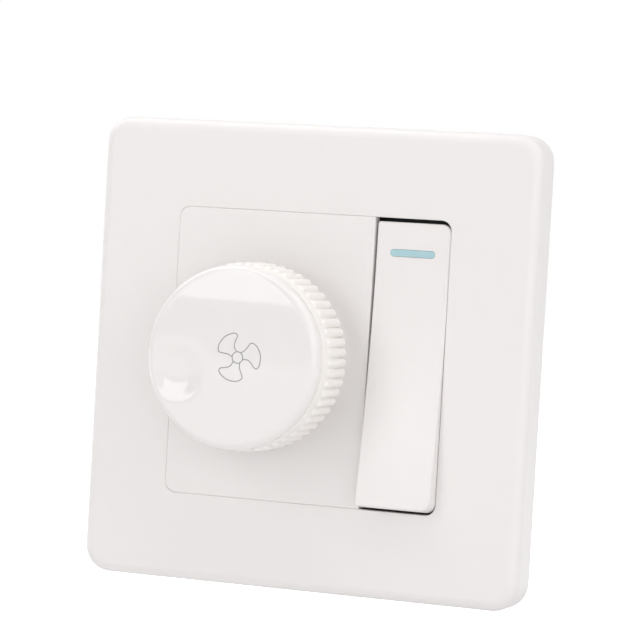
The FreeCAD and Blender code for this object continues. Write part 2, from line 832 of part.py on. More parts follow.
def make_rear_lid():
    """The back of the box: the posts that carry the board and four openings for the wires."""
    body = new_body("lid")
    sketch = sketch_on(body, "XZ_Plane", "-at.floor_y")
    square(sketch, "at.housing_half")
    pad(body, sketch, "dims.housing_wall", backward=True)
    fillet(body, lambda edge: straight(edge, ALONG_Y), "dims.housing_corner")
    fillet(body, lambda edge: level(edge, dims.housing_depth), "dims.housing_wall / 2")
    posts = board_posts()
    sketch = sketch_on(body, "XZ_Plane", "-at.board_back")
    for across, along in posts:
        circle(sketch, across, along, "dims.post_radius")
    pad(body, sketch, "at.floor_y - at.board_back", backward=True)
    sketch = sketch_on(body, "XZ_Plane", "-at.board_back")
    for across, along in posts:
        circle(sketch, across, along, "dims.board_screw + dims.thread_play")
    pocket(body, sketch, "dims.board_screw_length")
    sketch = sketch_on(body, "XZ_Plane", "-at.floor_y")
    for across in ("at.rocker_x", "at.clamp_x"):
        for side in ("", "-"):
            rectangle(
                sketch,
                f"{across} - dims.entry_side / 2",
                f"{across} + dims.entry_side / 2",
                f"{side}at.clamp_middle - dims.entry_side / 2",
                f"{side}at.clamp_middle + dims.entry_side / 2",
            )
    pocket(body, sketch, "dims.housing_wall")
    node(body, "rear_lid")


def make_housing_screws():
    """Four screws through the housing's ears into the frame."""
    length = "dims.ear_depth + dims.frame_thick + dims.boss_height / 2 - dims.shaft_play"
    items = [
        screw(
            f"housing_screw_{index}",
            (f"{flank}dims.ear_offset", "dims.ear_depth", f"{side}at.ear_z"),
            ALONG_Y,
            ("dims.housing_screw", length),
            ("dims.housing_head", "dims.housing_head_thick"),
        )
        for index, (flank, side) in enumerate([("", ""), ("-", ""), ("", "-"), ("-", "-")])
    ]
    node(group("housing_screw_set", *items), "housing_screws")


def make_circuit_board():
    """The control board on its four posts, with its screws."""
    posts = board_posts()
    plate = block(
        "board_plate",
        ("at.board_left", "dims.board_front", "-dims.board_half"),
        ("at.board_right - at.board_left", "dims.board_thick", "2 * dims.board_half"),
    )
    holes = [
        rod(
            f"board_hole_{index}",
            (across, "dims.board_front", along),
            ALONG_Y,
            "dims.board_screw + dims.shaft_play",
            "dims.board_thick",
        )
        for index, (across, along) in enumerate(posts)
    ]
    node(cut("board", plate, *holes), "circuit_board")
    items = [
        screw(
            f"board_screw_{index}",
            (across, "dims.board_front", along),
            -ALONG_Y,
            ("dims.board_screw", "dims.board_screw_length"),
            ("dims.board_head", "dims.board_head_thick"),
        )
        for index, (across, along) in enumerate(posts)
    ]
    node(group("board_screw_set", *items), "board_screws")


def make_potentiometer():
    """The rotary control: can, lugs, bushing, washer, nut and the shaft that the knob turns."""
    can = rod(
        "can_blank",
        ("at.knob_x", "-at.plinth_under", "0"),
        ALONG_Y,
        "dims.can_radius",
        "at.plinth_under + dims.board_front",
    )
    tail = rod(
        "can_bore",
        ("at.knob_x", "-at.plinth_under", "0"),
        ALONG_Y,
        "at.journal_bore",
        "dims.journal_tail + dims.side_play",
    )
    node(cut("can", can, tail), "potentiometer_can")
    lugs = []
    for index in (-1, 0, 1):
        left = f"at.knob_x + ({index}) * dims.lug_pitch - dims.lug_width / 2"
        bottom = "-dims.can_radius - dims.lug_reach"
        shelf = block(
            f"lug_shelf_{index + 1}",
            (left, "dims.board_front - 2 * dims.lug_thick", bottom),
            ("dims.lug_width", "dims.lug_thick", "dims.lug_reach + dims.lug_root"),
        )
        foot = block(
            f"lug_foot_{index + 1}",
            (left, "dims.board_front - 2 * dims.lug_thick", bottom),
            ("dims.lug_width", "2 * dims.lug_thick", "dims.lug_thick"),
        )
        lugs.append(join(f"lug_{index + 1}", shelf, foot))
    lug_set = group("lug_set", *lugs)
    can_space = rod(
        "lug_clearance",
        ("at.knob_x", "-at.plinth_under", "0"),
        ALONG_Y,
        "dims.can_radius",
        "at.plinth_under + 2 * dims.board_front",
    )
    node(cut("lugs", lug_set, can_space), "potentiometer_lugs")
    sleeve = rod(
        "bushing_blank",
        ("at.knob_x", "-at.bushing_front", "0"),
        ALONG_Y,
        "dims.bushing_radius",
        "dims.bushing_length",
    )
    bore = rod(
        "bushing_bore",
        ("at.knob_x", "-at.bushing_front", "0"),
        ALONG_Y,
        "at.journal_bore",
        "dims.bushing_length",
    )
    node(cut("bushing", sleeve, bore), "potentiometer_bushing")
    ring = rod(
        "washer_blank",
        ("at.knob_x", "-at.plinth_top - dims.washer_thick", "0"),
        ALONG_Y,
        "dims.washer_radius",
        "dims.washer_thick",
    )
    ring_hole = rod(
        "washer_hole",
        ("at.knob_x", "-at.plinth_top - dims.washer_thick", "0"),
        ALONG_Y,
        "dims.bushing_radius + dims.running_play",
        "dims.washer_thick",
    )
    node(cut("washer", ring, ring_hole), "bushing_washer")
    nut_back = "-at.plinth_top - dims.washer_thick - dims.nut_thick"
    hexagon = doc.addObject("Part::Prism", "nut_blank")
    hexagon.Polygon = 6
    hexagon.Placement = FreeCAD.Placement(FreeCAD.Vector(), FreeCAD.Rotation(ALONG_Z, ALONG_Y))
    place(hexagon, "at.knob_x", nut_back, "0")
    bind(hexagon, {"Circumradius": "dims.nut_across / sqrt(3)", "Height": "dims.nut_thick"})
    nut_hole = rod(
        "nut_hole",
        ("at.knob_x", nut_back, "0"),
        ALONG_Y,
        "dims.bushing_radius + dims.running_play",
        "dims.nut_thick",
    )
    node(cut("nut", hexagon, nut_hole), "bushing_nut")
    journal = rod(
        "journal",
        ("at.knob_x", "-at.bushing_front - dims.shaft_play", "0"),
        ALONG_Y,
        "dims.journal_radius",
        "at.bushing_front + dims.shaft_play - at.plinth_under + dims.journal_tail",
    )
    node(join("shaft", journal, shaft_end("shaft", "0", "0")), "potentiometer_shaft")


def shaft_end(name, grow, extra):
    """The D-shaped end of the shaft, or with a clearance the bore that takes it."""
    round_end = rod(
        name + "_round",
        ("at.knob_x", f"-at.shaft_front - {extra}", "0"),
        ALONG_Y,
        f"dims.shaft_radius + {grow}",
        f"dims.shaft_length + {extra}",
    )
    wide = "3 * dims.shaft_radius"
    flat = block(
        name + "_flat",
        (
            f"at.knob_x + dims.shaft_radius - dims.shaft_flat + {grow}",
            f"-at.shaft_front - {extra}",
            f"-{wide} / 2",
        ),
        ("dims.shaft_radius", f"dims.shaft_length + {extra} - dims.journal_radius / 2", wide),
    )
    return cut(name + "_dee", round_end, flat)


def make_knob():
    """The ribbed knob with its D-bored hub, and the domed cap with a finger dimple."""
    body = new_body("knob")
    place(body, "at.knob_x", "0", "0")
    sketch = sketch_on(body, "XY_Plane")
    outline(sketch, [
        ("at.knob_inside", "-at.knob_back"),
        ("dims.knob_radius", "-at.knob_back"),
        ("dims.knob_radius", "-at.shoulder_y"),
        ("dims.knob_neck", "-at.shoulder_y"),
        ("dims.knob_neck", "-at.knob_front"),
        ("at.knob_inside", "-at.knob_front"),
        ("at.knob_inside", "-at.web_front"),
        ("0", "-at.web_front"),
        ("0", "-at.hub_back"),
        ("dims.hub_outer", "-at.hub_back"),
        ("dims.hub_outer", "-at.web_back"),
        ("at.knob_inside", "-at.web_back"),
    ])
    spin(body, sketch, "PartDesign::Revolution")
    wide = dims.knob_radius
    shoulder = -at.shoulder_y
    fillet(
        body,
        lambda edge: level(edge, shoulder) and abs(edge.BoundBox.XMax - wide) < 1e-4,
        "dims.shoulder_edge",
    )
    sketch = sketch_on(body, "XZ_Plane", "at.knob_back")
    circle(sketch, "at.rib_centre", "0", "dims.rib_radius")
    rib = pad(body, sketch, "at.rib_front - at.knob_back")
    ribs = body.newObject("PartDesign::PolarPattern", "ribs")
    ribs.Originals = [rib]
    ribs.Axis = (origin(body, "Y_Axis"), [""])
    ribs.Angle = 360
    ribs.setExpression("Occurrences", "dims.rib_count")
    body.Tip = ribs
    doc.recompute()
    sketch = sketch_on(body, "XY_Plane")
    past = "at.rib_crest + dims.rib_round"
    for end, inward in (("at.rib_front", "-"), ("at.knob_back", "+")):
        outline(sketch, [
            ("dims.knob_radius", f"-{end}"),
            (past, f"-{end}"),
            (past, f"-({end} {inward} dims.rib_run)"),
        ])
    spin(body, sketch, "PartDesign::Groove")
    bore = shaft_end("hub_bore", "dims.bore_play", "dims.shaft_play")
    node(cut("knob_bored", body, bore), "knob_body")

    body = new_body("cap")
    place(body, "at.knob_x", "0", "0")
    sketch = sketch_on(body, "XY_Plane")
    middle = ("dims.cap_radius / 2", "-at.cap_middle")
    outline(
        sketch,
        [
            ("0", "-at.web_front"),
            ("at.plug_radius", "-at.web_front"),
            ("at.plug_radius", "-at.cap_back"),
            ("dims.cap_radius", "-at.cap_back"),
            ("dims.cap_radius", "-at.cap_front"),
            ("0", "-at.cap_top"),
        ],
        {4: ("at.crown_radius", middle)},
    )
    spin(body, sketch, "PartDesign::Revolution")
    rim = -at.cap_front
    fillet(body, lambda edge: level(edge, rim), "dims.cap_edge")
    hollow = ball(
        "dimple",
        (
            "at.knob_x + at.dimple_x",
            "-at.dimple_face - dims.dimple_radius + dims.dimple_depth",
            "at.dimple_z",
        ),
        "dims.dimple_radius",
    )
    node(cut("cap_dimpled", body, hollow), "knob_cap")


def make_rocker():
    """The concave rocker with its inlay, the cradle under it, the pin, the plunger and its spring."""
    body = new_body("rocker")
    sketch = sketch_on(body, "YZ_Plane", "-dims.rocker_width / 2")
    outline(
        sketch,
        [
            ("-at.face_end", "at.rocker_half"),
            ("-at.face_end", "-at.rocker_half"),
            ("0", "-at.rocker_half - dims.rocker_draft"),
            ("0", "at.rocker_half + dims.rocker_draft"),
        ],
        {0: ("dims.rocker_hollow", ("-at.face_mid", "0"))},
    )
    pad(body, sketch, "dims.rocker_width")
    for flank, radius in ((1, "dims.rocker_corner"), (-1, "dims.rocker_inner_corner")):
        side = flank * dims.rocker_width / 2
        fillet(
            body,
            lambda edge: abs(edge.BoundBox.Center.x - side) < 1e-4
            and edge.BoundBox.ZLength < dims.rocker_wall,
            radius,
        )
    fillet(
        body,
        lambda edge: edge.BoundBox.YMax < -at.face_mid + 1e-3,
        "dims.rocker_edge",
    )
    sketch = sketch_on(body, "XZ_Plane")
    rectangle(
        sketch,
        "-(dims.rocker_width / 2 - dims.rocker_wall)",
        "dims.rocker_width / 2 - dims.rocker_wall",
        "-(at.rocker_half - dims.rocker_wall)",
        "at.rocker_half - dims.rocker_wall",
    )
    pocket(body, sketch, "at.rocker_inside", forward=True)
    above = "at.indicator_face + dims.rocker_skin"
    depth = "dims.indicator_depth + dims.rocker_skin"
    half = "dims.indicator_width / 2"
    sketch = sketch_on(body, "XZ_Plane", above)
    rectangle(
        sketch,
        "-at.indicator_run",
        "at.indicator_run",
        f"at.indicator_z - {half}",
        f"at.indicator_z + {half}",
    )
    pocket(body, sketch, depth)
    sketch = sketch_on(body, "XZ_Plane", above)
    for flank in ("", "-"):
        circle(sketch, f"{flank}at.indicator_run", "at.indicator_z", half)
    pocket(body, sketch, depth)
    on_rocker(body)
    node(body, "rocker_button")

    half = "(dims.indicator_width / 2 - dims.thread_play)"
    bar = block(
        "indicator_bar",
        ("-at.indicator_run", "-at.indicator_face - dims.thread_play", f"at.indicator_z - {half}"),
        ("2 * at.indicator_run", "dims.indicator_depth + dims.thread_play", f"2 * {half}"),
    )
    ends = [
        rod(
            f"indicator_end_{index}",
            (f"{flank}at.indicator_run", "-at.indicator_face - dims.thread_play", "at.indicator_z"),
            ALONG_Y,
            half,
            "dims.indicator_depth + dims.thread_play",
        )
        for index, flank in enumerate(("", "-"))
    ]
    indicator = join("indicator", bar, *ends)
    on_rocker(indicator)
    node(indicator, "rocker_indicator")

    seat = block(
        "cradle_seat",
        ("-at.cradle_half", "-at.rocker_inside", "-dims.cradle_reach"),
        ("2 * at.cradle_half", "dims.cradle_thick", "2 * dims.cradle_reach"),
    )
    spine = block(
        "cradle_spine",
        ("-at.cradle_half", "-at.rocker_inside", "-dims.hub_radius"),
        ("2 * at.cradle_half", "at.rocker_inside", "2 * dims.hub_radius"),
    )
    hub = rod("cradle_hub", ("-at.cradle_half", "0", "0"), ALONG_X, "dims.hub_radius", "2 * at.cradle_half")
    barrel = rod("cradle_barrel", ("0", "0", "0"), ALONG_Y, "dims.barrel_radius", "dims.barrel_end")
    pin_hole = rod(
        "cradle_pin_hole",
        ("-at.cradle_half", "0", "0"),
        ALONG_X,
        "dims.pin_radius + dims.running_play",
        "2 * at.cradle_half",
    )
    bore = rod(
        "cradle_bore",
        ("0", "dims.bore_start", "0"),
        ALONG_Y,
        "dims.plunger_radius + dims.running_play",
        "dims.barrel_end",
    )
    cradle = cut("cradle", join("cradle_blank", seat, spine, hub, barrel), pin_hole, bore)
    on_rocker(cradle)
    node(cradle, "rocker_cradle")

    reach = "(at.ear_inner + dims.ear_thick)"
    pin = rod(
        "pin",
        (f"at.rocker_x - {reach}", "-at.pivot_y", "-dims.pivot_drop"),
        ALONG_X,
        "dims.pin_radius",
        f"2 * {reach}",
    )
    node(pin, "rocker_pin")

    stem_start = ("0", "at.plunger_back", "0")
    stem = rod("plunger_stem", stem_start, ALONG_Y, "dims.plunger_radius", "dims.plunger_body")
    nose = ball("plunger_nose", ("0", "at.nose_centre", "0"), "dims.plunger_radius")
    plunger = join("plunger_solid", stem, nose)
    on_rocker(plunger)
    node(plunger, "plunger")

    wire = dims.spring_wire
    height = dims.spring_length - 2 * wire
    helix = Part.makeHelix(height / dims.spring_turns, height, dims.spring_radius)
    section = Part.makeCircle(wire, FreeCAD.Vector(dims.spring_radius, 0, 0), ALONG_Y)
    coil = Part.Wire(helix).makePipeShell([Part.Wire(section)], True, True)
    coil.Placement = FreeCAD.Placement(
        FreeCAD.Vector(0, dims.bore_start + wire, 0),
        FreeCAD.Rotation(ALONG_Z, ALONG_Y),
    )
    spring = doc.addObject("Part::Feature", "spring")
    spring.Shape = Part.Compound([coil])
    on_rocker(spring)
    node(spring, "plunger_spring")


def make_contact_lever():
    """The tilting contact and its rivet, open while the rocker's top is pressed in."""
    arm = block(
        "lever_arm",
        ("-dims.lever_width / 2", "at.lever_front - at.roll_y", "-dims.lever_low"),
        ("dims.lever_width", "dims.lever_thick", "dims.lever_low + dims.lever_high"),
    )
    roll_start = ("-dims.lever_width / 2", "0", "0")
    roll = rod("lever_roll", roll_start, ALONG_X, "dims.roll_radius", "dims.lever_width")
    lever = join("lever", arm, roll)
    rivet = rod(
        "lever_rivet",
        ("0", "at.lever_back - at.roll_y", "dims.rivet_height"),
        ALONG_Y,
        "dims.rivet_radius",
        "dims.rivet_thick",
    )
    holder = group("lever_rivet_set", rivet)
    for item, label in ((lever, "contact_lever"), (holder, "moving_rivet")):
        tilt(item, ALONG_X, "at.rocker_x", "at.roll_y", "-dims.pivot_drop", "dims.lever_tilt")
        node(item, label)


def clamp(name, x, side):
    """A brass wire clamp on the housing's floor, bored for the wire and for its screw."""
    low = "at.clamp_low" if side == "" else "-at.clamp_high"
    body = block(
        name + "_block",
        (f"{x} - dims.clamp_side / 2", "at.clamp_front", low),
        ("dims.clamp_side", "dims.clamp_depth", "dims.clamp_side"),
    )
    wire = rod(
        name + "_wire",
        (x, "at.clamp_front", f"{side}at.clamp_middle"),
        ALONG_Y,
        "dims.wire_radius",
        "dims.clamp_depth",
    )
    thread = rod(
        name + "_thread",
        (x, "at.clamp_front + dims.clamp_depth / 2", f"{side}at.clamp_middle"),
        ALONG_Z if side == "" else -ALONG_Z,
        "dims.terminal_screw + dims.thread_play",
        "dims.clamp_side / 2",
    )
    return body, (wire, thread)


def make_terminals():
    """Four wire clamps with their straps: two for the board, two for the switch."""
    half_strap = "dims.lever_width / 2"
    for side, label in (("", "supply_terminal"), ("-", "fan_terminal")):
        body, holes = clamp(label, "at.clamp_x", side)
        root = "at.clamp_low" if side == "" else "-at.clamp_low - dims.strap_thick"
        tail = block(
            label + "_tail",
            (f"at.clamp_x - {half_strap}", "at.board_back", root),
            ("dims.lever_width", "at.clamp_front - at.board_back + dims.strap_thick", "dims.strap_thick"),
        )
        node(cut(label + "_solid", join(label + "_blank", body, tail), *holes), label)

    left = f"at.rocker_x - {half_strap}"
    body, holes = clamp("fixed", "at.rocker_x", "")
    riser = block(
        "fixed_riser",
        (left, "at.fixed_strap", "at.clamp_low"),
        ("dims.lever_width", "at.clamp_front - at.fixed_strap + dims.strap_thick", "dims.strap_thick"),
    )
    foot = "dims.rivet_height - dims.pivot_drop - dims.rivet_radius"
    shelf = block(
        "fixed_shelf",
        (left, "at.fixed_strap", foot),
        ("dims.lever_width", "dims.strap_thick", f"at.clamp_low - ({foot}) + dims.strap_thick"),
    )
    node(cut("fixed_solid", join("fixed_blank", body, riser, shelf), *holes), "fixed_contact")
    rivet = rod(
        "fixed_rivet_solid",
        ("at.rocker_x", "at.fixed_front", "dims.rivet_height - dims.pivot_drop"),
        ALONG_Y,
        "dims.rivet_radius",
        "dims.rivet_thick",
    )
    node(rivet, "fixed_rivet")

    body, holes = clamp("common", "at.rocker_x", "-")
    strap_front = "at.saddle_back - dims.strap_thick"
    base = "-at.clamp_low - dims.strap_thick"
    riser = block(
        "common_riser",
        (left, strap_front, base),
        ("dims.lever_width", f"at.clamp_front - ({strap_front}) + dims.strap_thick", "dims.strap_thick"),
    )
    shelf = block(
        "common_shelf",
        (left, strap_front, base),
        ("dims.lever_width", "dims.strap_thick", f"-dims.pivot_drop - ({base})"),
    )
    saddle = block(
        "common_saddle",
        (
            "at.rocker_x - dims.saddle_width / 2",
            "at.saddle_front",
            "-dims.pivot_drop - dims.saddle_half",
        ),
        ("dims.saddle_width", "at.saddle_back - at.saddle_front", "2 * dims.saddle_half"),
    )
    groove = rod(
        "common_groove",
        ("at.rocker_x - dims.saddle_width / 2", "at.roll_y", "-dims.pivot_drop"),
        ALONG_X,
        "dims.roll_radius + dims.running_play",
        "dims.saddle_width",
    )
    blank = join("common_blank", body, riser, shelf, saddle)
    node(cut("common_solid", blank, groove, *holes), "common_contact")

    length = "dims.clamp_side / 2 - dims.wire_radius - dims.contact_gap"
    screws = [
        screw(
            f"terminal_screw_{index}",
            (x, "at.clamp_front + dims.clamp_depth / 2", f"{side}at.clamp_high"),
            ALONG_Z if side == "" else -ALONG_Z,
            ("dims.terminal_screw", length),
            ("dims.terminal_head", "dims.terminal_head_thick"),
        )
        for index, (x, side) in enumerate(
            [("at.rocker_x", ""), ("at.rocker_x", "-"), ("at.clamp_x", ""), ("at.clamp_x", "-")]
        )
    ]
    node(group("terminal_screw_set", *screws), "terminal_screws")


def make_choke():
    """The interference choke: a ferrite drum and its copper winding."""
    foot = ("at.drum_x", "at.board_back", "dims.drum_z")
    low = rod("drum_low", foot, ALONG_Y, "dims.drum_radius", "dims.drum_flange")
    core = rod("drum_core", foot, ALONG_Y, "dims.drum_core", "dims.drum_height")
    high = rod(
        "drum_high",
        ("at.drum_x", "at.board_back + dims.drum_height - dims.drum_flange", "dims.drum_z"),
        ALONG_Y,
        "dims.drum_radius",
        "dims.drum_flange",
    )
    node(join("drum", low, core, high), "choke_core")
    start = ("at.drum_x", "at.board_back + dims.drum_flange", "dims.drum_z")
    length = "dims.drum_height - 2 * dims.drum_flange"
    coil = rod("winding_outer", start, ALONG_Y, "dims.winding_radius", length)
    inner = rod("winding_inner", start, ALONG_Y, "dims.drum_core", length)
    node(cut("winding", coil, inner), "choke_winding")


def make_film_capacitors():
    """Two moulded box capacitors side by side."""
    items = []
    for index in range(2):
        box = block(
            f"film_box_{index}",
            (f"at.film_x + {index} * dims.film_pitch", "at.board_back", "dims.film_z"),
            ("dims.film_width", "dims.film_height", "dims.film_length"),
        )
        doc.recompute()
        soft = doc.addObject("Part::Fillet", f"film_soft_{index}")
        soft.Base = box
        top = number("at.board_back + dims.film_height")
        soft.Edges = [
            (index, dims.film_edge, dims.film_edge)
            for index, edge in enumerate(box.Shape.Edges, start=1)
            if straight(edge, ALONG_Y) or level(edge, top)
        ]
        items.append(soft)
    node(group("film_set", *items), "film_capacitors")


def make_triac():
    """The triac on its U-shaped heat sink."""
    hole_y = "at.hole_y"
    plate = block(
        "sink_plate",
        ("at.sink_x - dims.sink_width / 2", "at.board_back", "dims.sink_z"),
        ("dims.sink_width", "at.sink_height", "dims.sink_thick"),
    )
    wings = [
        block(
            f"sink_wing_{index}",
            (left, "at.board_back", "dims.sink_z"),
            ("dims.sink_thick", "at.sink_height", "dims.sink_wing"),
        )
        for index, left in enumerate((
            "at.sink_x - dims.sink_width / 2",
            "at.sink_x + dims.sink_width / 2 - dims.sink_thick",
        ))
    ]
    sink_hole = rod(
        "sink_hole",
        ("at.sink_x", hole_y, "dims.sink_z"),
        ALONG_Z,
        "dims.sink_screw + dims.thread_play",
        "dims.sink_thick",
    )
    node(cut("sink", join("sink_blank", plate, *wings), sink_hole), "heat_sink")
    tab = block(
        "tab_blank",
        ("at.sink_x - dims.triac_width / 2", "at.triac_low", "at.tab_front"),
        ("dims.triac_width", "dims.triac_tall", "dims.tab_plate"),
    )
    tab_hole = rod(
        "tab_hole",
        ("at.sink_x", hole_y, "at.tab_front"),
        ALONG_Z,
        "dims.sink_screw + dims.shaft_play",
        "dims.tab_plate",
    )
    node(cut("tab", tab, tab_hole), "triac_tab")
    case = block(
        "triac_case",
        ("at.sink_x - dims.triac_width / 2", "at.triac_low", "at.tab_front - dims.triac_thick"),
        ("dims.triac_width", "dims.triac_body", "dims.triac_thick"),
    )
    node(case, "triac_body")
    leads = [
        block(
            f"triac_lead_{index + 1}",
            (
                f"at.sink_x + ({index}) * dims.lead_pitch - dims.lead_width / 2",
                "at.board_back",
                "at.tab_front - dims.triac_thick / 2",
            ),
            ("dims.lead_width", "at.lead_length", "dims.lead_width"),
        )
        for index in (-1, 0, 1)
    ]
    node(group("triac_lead_set", *leads), "triac_leads")
    sink_screw = screw(
        "sink_screw",
        ("at.sink_x", hole_y, "at.tab_front"),
        -ALONG_Z,
        ("dims.sink_screw", "dims.tab_plate + dims.sink_thick + dims.sink_screw_past"),
        ("dims.sink_head", "dims.sink_head_thick"),
    )
    node(sink_screw, "heat_sink_screw")


def axial(name, row, radius, length):
    """A small part lying on the board on its two bent leads."""
    z = f"dims.axial_z + {row} * dims.axial_pitch"
    y = f"at.board_back + {radius}"
    left = "at.axial_x"
    right = f"at.axial_x + {length}"
    items = [rod(name + "_case", (left, y, z), ALONG_X, radius, length)]
    for index, (start, foot) in enumerate(
        ((f"{left} - dims.axial_reach", f"{left} - dims.axial_reach"), (right, f"{right} + dims.axial_reach"))
    ):
        bend = (foot, y, z)
        items += [
            rod(f"{name}_lead_{index}", (start, y, z), ALONG_X, "dims.axial_lead", "dims.axial_reach"),
            rod(f"{name}_foot_{index}", bend, -ALONG_Y, "dims.axial_lead", radius),
            ball(f"{name}_bend_{index}", bend, "dims.axial_lead"),
        ]
    return join(name, *items)


def make_small_parts():
    """The timing resistors and the trigger diode."""
    resistors = [
        axial(f"resistor_{row}", row, "dims.resistor_radius", "dims.resistor_length")
        for row in range(2)
    ]
    node(group("resistor_set", *resistors), "resistors")
    node(axial("trigger_diode", 2, "dims.diac_radius", "dims.diac_length"), "diac")


make_front_cover()
make_mounting_frame()
make_insert_panel()
make_rear_housing()
make_rear_lid()
make_housing_screws()
make_circuit_board()
make_potentiometer()
make_knob()
make_rocker()
make_contact_lever()
make_terminals()
make_choke()
make_film_capacitors()
make_triac()
make_small_parts()
doc.recompute()

faults = [item.Name for item in doc.Objects if {"Invalid", "Error"} & set(item.State)]
faults += [item.Label for item in nodes if item.Shape.isNull() or not item.Shape.isValid()]
if faults:
    raise ValueError(f"these did not build: {faults}")
os.makedirs("parts", exist_ok=True)
for item in nodes:
    item.Shape.exportStep(f"parts/{item.Label}.step")
print(len(nodes), "pieces written")
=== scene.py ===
import json
import math
import bmesh
import bpy
from mathutils import Matrix, Vector

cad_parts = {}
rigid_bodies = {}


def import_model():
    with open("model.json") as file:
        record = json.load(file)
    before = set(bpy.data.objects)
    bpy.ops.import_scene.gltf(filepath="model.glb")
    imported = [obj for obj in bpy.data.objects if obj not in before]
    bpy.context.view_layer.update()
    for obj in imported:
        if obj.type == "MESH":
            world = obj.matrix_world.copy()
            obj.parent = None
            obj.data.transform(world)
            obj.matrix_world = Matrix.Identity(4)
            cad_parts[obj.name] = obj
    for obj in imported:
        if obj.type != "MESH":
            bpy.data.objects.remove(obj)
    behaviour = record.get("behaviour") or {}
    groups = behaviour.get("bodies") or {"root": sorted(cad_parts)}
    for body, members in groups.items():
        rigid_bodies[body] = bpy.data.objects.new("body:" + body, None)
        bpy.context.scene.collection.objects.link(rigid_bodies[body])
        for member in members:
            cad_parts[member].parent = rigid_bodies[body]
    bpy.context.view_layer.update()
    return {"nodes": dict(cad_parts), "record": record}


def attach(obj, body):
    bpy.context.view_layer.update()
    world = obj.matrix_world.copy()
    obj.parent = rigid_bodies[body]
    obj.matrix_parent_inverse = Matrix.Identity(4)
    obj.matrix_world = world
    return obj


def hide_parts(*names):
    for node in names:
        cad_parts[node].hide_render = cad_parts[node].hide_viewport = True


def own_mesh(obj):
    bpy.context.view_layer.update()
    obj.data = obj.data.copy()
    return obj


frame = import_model()

# Pieces are measured in millimetres. A distance forward is in front of the wall, so y = -forward
MM = 0.001

# Points closer than WELD are joined, and edges that turn by more than CREASE degrees stay sharp
WELD = 0.0005
CREASE = 38.0
ARC_STEPS = 6
QUARTER_TURN = 0.5 * math.pi

# Knob: its skirt, web and bored hub
KNOB_X = -7.35
KNOB_BACK = 12.4
KNOB_FRONT = 23.7
KNOB_RADIUS = 16.75
KNOB_INSIDE = 14.9
NECK_RADIUS = 16.25
SHOULDER = 22.5
SHOULDER_ROUND = 0.3
WEB_FRONT = 22.9
WEB_BACK = 20.9
HUB_RADIUS = 5.5
HUB_BACK = 15.2
BORE_RADIUS = 3.05
BORE_FLAT = 1.55
BORE_DEE = 15.95
BORE_END = 22.4

# Ribs of the knob and the grooves between them
RIB_COUNT = 56
RIB_RADIUS = 0.92
RIB_CENTRE = 16.3
RIB_FRONT = 20.5
RIB_STEPS = 10
RIB_TURN_STEP = 15
GROOVE_DEPTH = 0.34
GROOVE_RUN = 7.0
GROOVE_STEPS = 8
TAIL_ROUND = 0.15
TAIL_STEPS = 4

# Cap of the knob
CAP_BACK = 23.8
CAP_TOP = 25.735
CAP_RADIUS = 16.7
CAP_EDGE = 1.5
CAP_EDGE_START = 82
CAP_EDGE_STEPS = 12
CAP_CROWN_RADIUS = 558.0
CAP_BACK_ROUND = 0.1
CAP_STEPS = 96
CAP_SIDES = 336
PLUG_RADIUS = 14.85

# Finger dimple in the cap: its place around the knob's axis, and its form
DIMPLE_OFFSET = 10.8
DIMPLE_ANGLE = 197.0
DIMPLE_RADIUS = 4.4
DIMPLE_DEPTH = 0.45
DIMPLE_POWER = 3.4
DIMPLE_RIM = 0.8

# Fan symbol printed on the cap; a blade's corners are (degrees, distance from the symbol's centre)
SYMBOL_X = 1.37
SYMBOL_Z = 0.16
SYMBOL_LINE = 0.172
SYMBOL_INK = 0.012
SYMBOL_ROOT = 0.06
SYMBOL_HUB = 1.03
RING_SIDES = 48
CURVE_STEPS = 8
BLADE_TURNS = (19.0, 139.0, 259.0)
BLADE = (
    (-36, 1.1), (-28, 2.0), (-37, 2.9), (-45, 3.7), (-43, 4.25), (-33, 4.45), (-12, 4.45),
    (8, 4.3), (22, 4.05), (29, 3.6), (28, 2.8), (26.5, 1.9), (36, 1.1),
)

# Edges of the insert and the rocker that are moved: (axis, side, distance outwards)
EDGE_ZONE = 1.0
INSERT_EDGES = ((0, -1, 0.055), (2, 1, 0.055), (2, -1, 0.055))
ROCKER_EDGES = ((0, -1, -0.15), (0, 1, 0.05))

# Camera fitted to the photograph: millimetres and degrees, with its clipping in metres
CAMERA_AIM = (2.38, -7.5, 7.28)
CAMERA_DISTANCE = 562.36
CAMERA_AZIMUTH = 21.09
CAMERA_ELEVATION = 1.837
CAMERA_ROLL = 3.334
CAMERA_LENS = 172.45
CAMERA_SENSOR = 36.0
CAMERA_CLIP_START = 0.01
CAMERA_CLIP_END = 20.0

# Soft lamps: name, azimuth, elevation, distance, (width, height), power; degrees, metres and watts
SOFTBOXES = (
    ("key", -24.0, 20.4, 1.4, (0.5, 1.0), 3.9),
    ("fill", 35.0, 2.0, 1.4, (1.0, 0.9), 4.3),
    ("side", 82.0, 36.0, 1.4, (1.5, 1.5), 8.5),
    ("top", -20.0, 68.0, 1.2, (1.3, 0.2), 3.6),
    ("rim", -97.0, 50.0, 1.0, (0.16, 0.9), 3.0),
)

# World and floor, in metres: the floor glows white further out and keeps the shadow near the object
WHITE = (1.0, 1.0, 1.0, 1.0)
WORLD_LIGHT = 0.305
WORLD_SHOWN = 1.0
FLOOR_HALF = 3.0
FLOOR_HEIGHT = -0.075
FLOOR_DARKER = (0.9, 0.9, 0.9)
FLOOR_LIGHTER = (0.93, 0.93, 0.93)
FLOOR_NOISE = 3.0
FLOOR_ROUGH = 0.9
GLOW_NEAR = 0.1
GLOW_FAR = 0.28
GLOW_LEAST = 0.12
GLOW_MOST = 0.8

